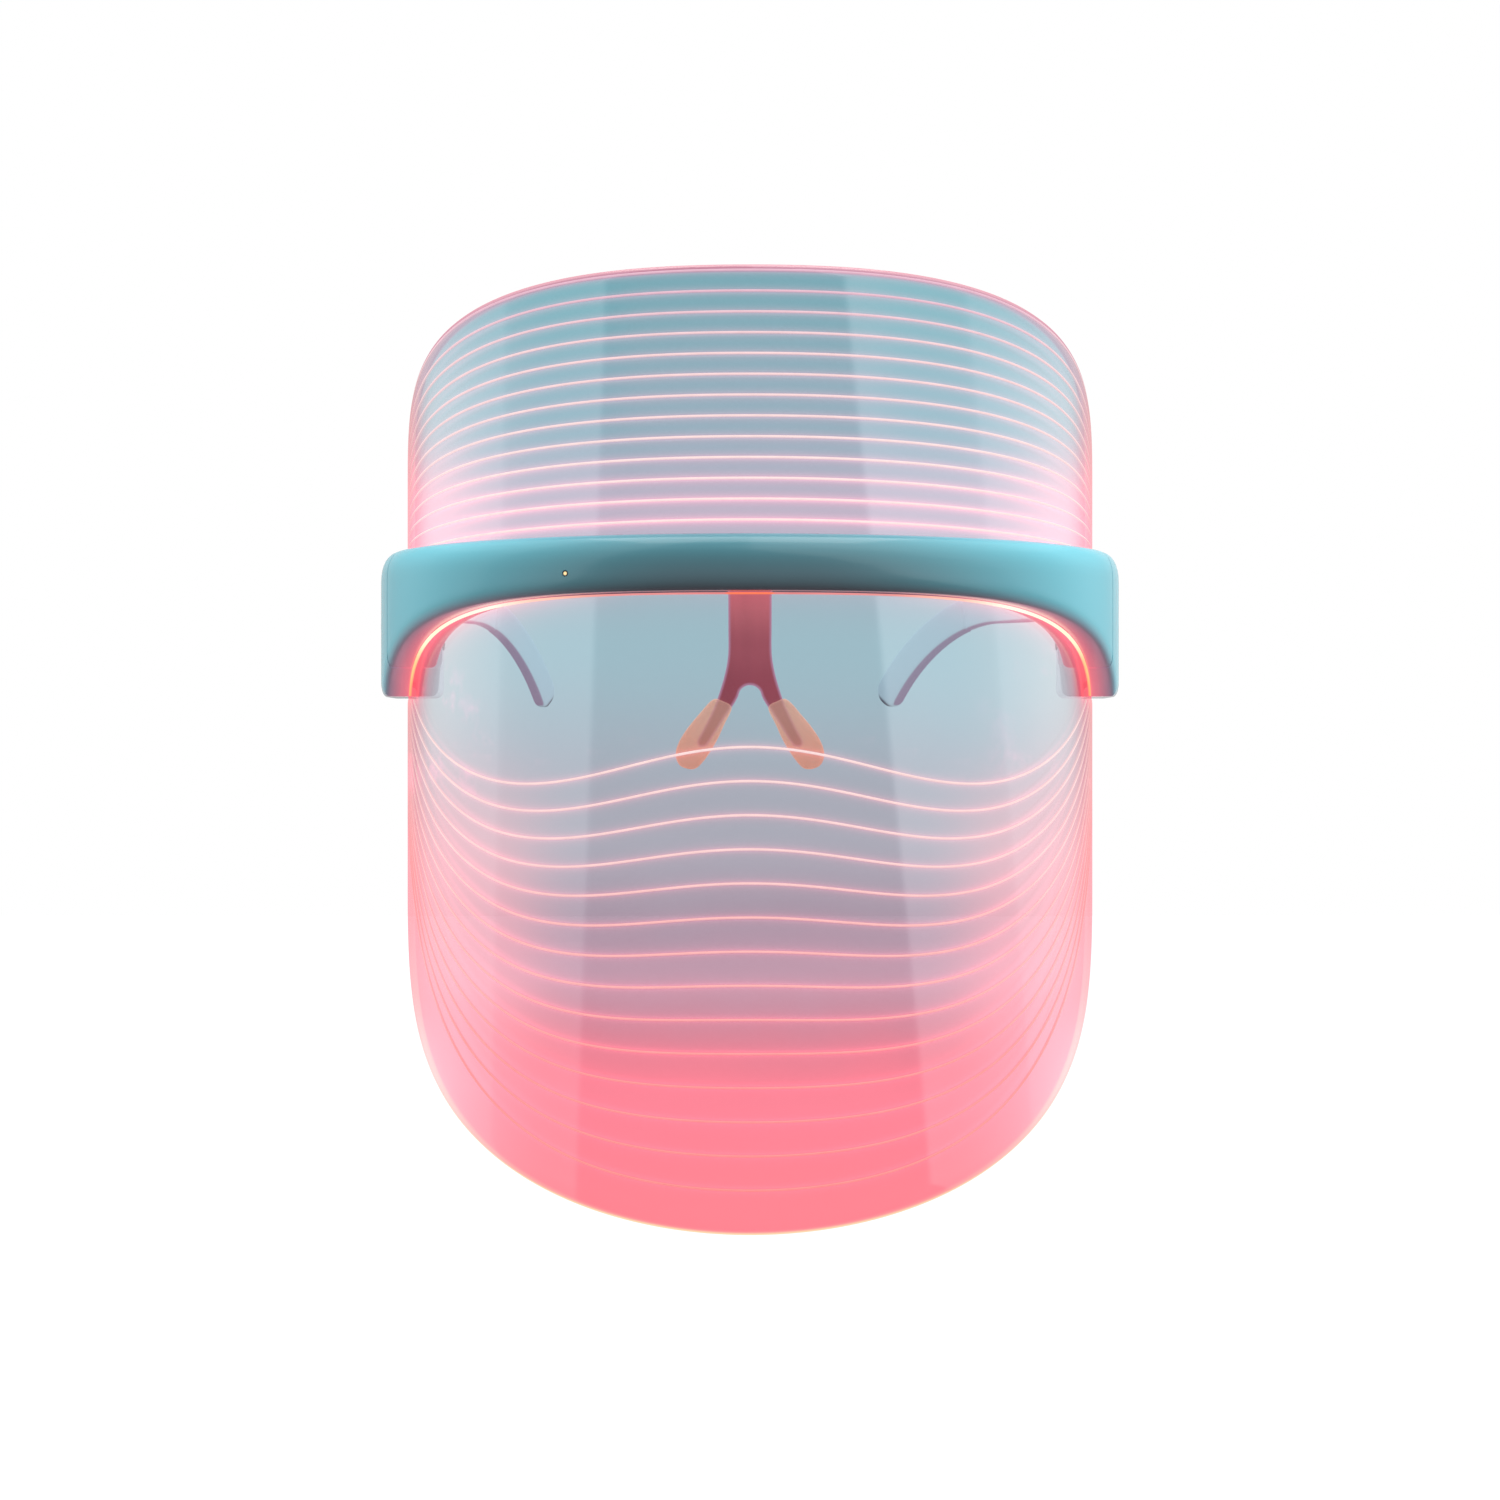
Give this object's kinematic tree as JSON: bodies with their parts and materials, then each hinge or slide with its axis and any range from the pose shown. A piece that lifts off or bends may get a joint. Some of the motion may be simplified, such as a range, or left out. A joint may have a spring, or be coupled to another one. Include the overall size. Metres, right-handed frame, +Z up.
{
  "type": "led face mask",
  "caption": "Edge-lit light therapy face mask: curved clear shields with glowing lines in a wrap-round brow band, with a nose rest and folding temple arms.",
  "frame": {"origin": "middle of the nose rest, between the two nose pads, where the bridge of the nose carries the mask", "axes": "+Z up as worn, -Y out of the front of the mask, +X to the wearer's left"},
  "size_m": [0.1921, 0.1761, 0.2273],
  "materials": {
    "shield_tint": "clear tinted acrylic, polished, glowing pink towards the chin",
    "band_shell": "glossy teal ABS",
    "led_flex": "white flexible light strip",
    "indicator": "lit amber lens",
    "battery_wrap": "shrink-wrapped cell",
    "wire": "insulated lead",
    "circuit_board": "solder-masked board",
    "socket_metal": "plated socket shell",
    "button_rubber": "soft matt rubber",
    "dome_silicone": "switch dome",
    "bracket_plastic": "satin plastic, red-lit",
    "pad_silicone": "translucent silicone",
    "hinge_metal": "stainless",
    "arm_plastic": "pale satin plastic",
    "tip_silicone": "soft pale silicone"
  },
  "bodies": {
    "frame": {"forehead_shield": "shield_tint", "face_shield": "shield_tint", "brow_front_cover": "band_shell", "brow_rear_cover": "band_shell", "end_cap_left": "band_shell", "end_cap_right": "band_shell", "inner_housing_left": "band_shell", "inner_housing_right": "band_shell", "led_strip_upper": "led_flex", "led_strip_lower": "led_flex", "indicator_lens": "indicator", "battery": "battery_wrap", "battery_lead": "wire", "control_board": "circuit_board", "usb_socket": "socket_metal", "button_dome": "dome_silicone", "nose_bracket": "bracket_plastic", "nose_pad_left": "pad_silicone", "nose_pad_right": "pad_silicone", "hinge_block_left": "hinge_metal", "hinge_block_right": "hinge_metal", "hinge_pin_left": "hinge_metal", "hinge_pin_right": "hinge_metal", "housing_screw_1": "hinge_metal", "housing_screw_2": "hinge_metal", "housing_screw_3": "hinge_metal", "housing_screw_4": "hinge_metal", "housing_screw_5": "hinge_metal", "housing_screw_6": "hinge_metal"},
    "left_temple": {"temple_arm_left": "arm_plastic", "temple_tip_left": "tip_silicone"},
    "right_temple": {"temple_arm_right": "arm_plastic", "temple_tip_right": "tip_silicone"},
    "button": {"power_button": "button_rubber"}
  },
  "joints": [
    {"name": "left_temple_fold", "type": "hinge", "parent": "frame", "child": "left_temple", "pos_m": [0.0845, 0.0625, 0.04], "axis": [0, 0, 1], "range_deg": [-26, 62]},
    {"name": "right_temple_fold", "type": "hinge", "parent": "frame", "child": "right_temple", "pos_m": [-0.0845, 0.0625, 0.04], "axis": [0, 0, -1], "range_deg": [-10, 78]},
    {"name": "power_button_press", "type": "slide", "parent": "frame", "child": "button", "axis": [1, 0, 0], "range_m": [0, 0.0006], "stiffness_N_per_m": 1500, "springref_m": -0.0003}
  ]
}
